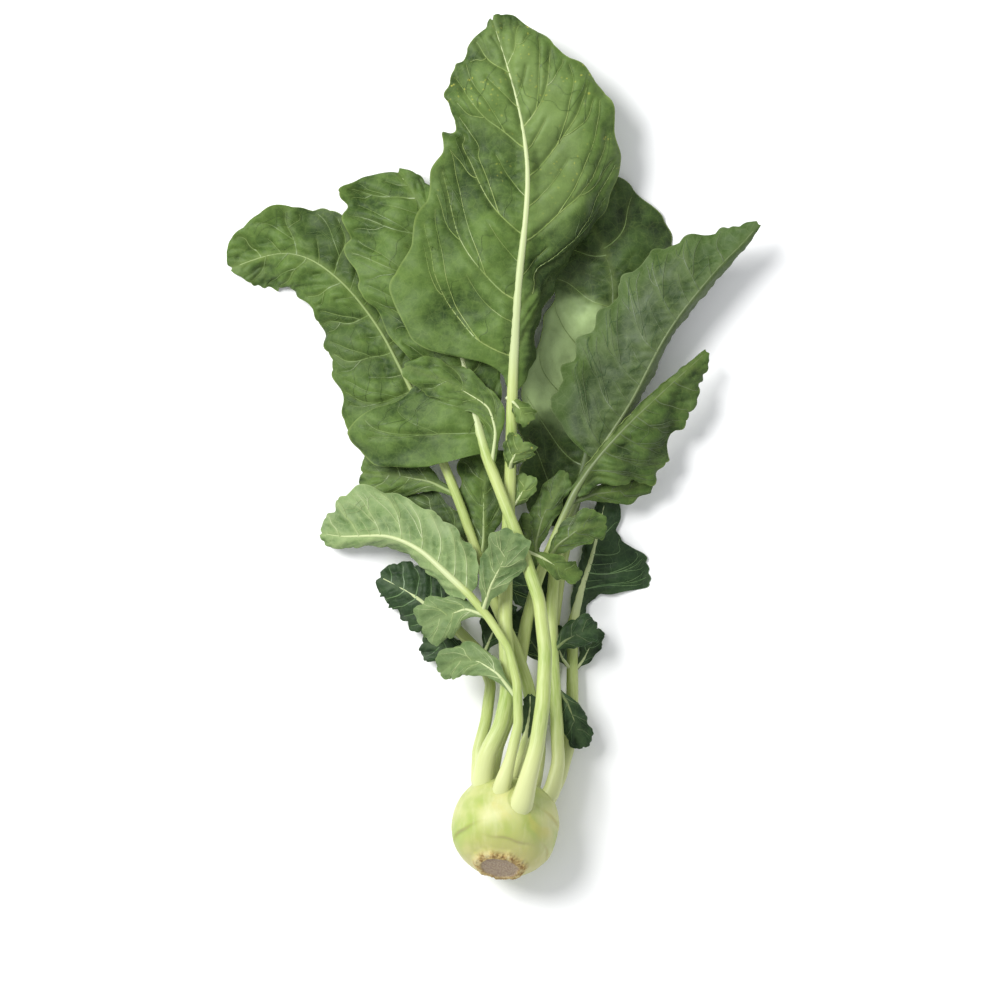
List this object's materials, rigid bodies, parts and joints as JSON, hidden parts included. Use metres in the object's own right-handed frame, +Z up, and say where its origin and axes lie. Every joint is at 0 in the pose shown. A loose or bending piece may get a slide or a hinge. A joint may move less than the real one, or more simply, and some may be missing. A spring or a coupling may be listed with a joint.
{
  "type": "kohlrabi",
  "caption": "Fresh kohlrabi with its leaves on, lying flat: a round pale green swollen stem with a corky root end and long stalked, lobed dark green leaves.",
  "frame": {"origin": "the small flat spot on the underside of the bulb, where it rests on the table", "axes": "+Z up from the table; +Y from the bulb along the stalks to the leaf tips; +X to the right seen from above, with the root end towards -Y"},
  "size_m": [0.3007, 0.4857, 0.0626],
  "materials": {
    "bulb_skin": "satin",
    "leaf_green": "satin",
    "leaf_pale": "matte",
    "leaf_dark": "matte"
  },
  "bodies": {
    "root": {"bulb": "bulb_skin", "leaf_top": "leaf_green", "leaf_upper_left": "leaf_green", "leaf_left": "leaf_green", "leaf_lower_left": "leaf_pale", "leaf_right": "leaf_pale", "leaf_lower_right": "leaf_green", "leaf_under": "leaf_green", "leaf_low_right": "leaf_dark", "leaf_low_left": "leaf_dark", "heart_leaf": "leaf_green"}
  },
  "joints": []
}
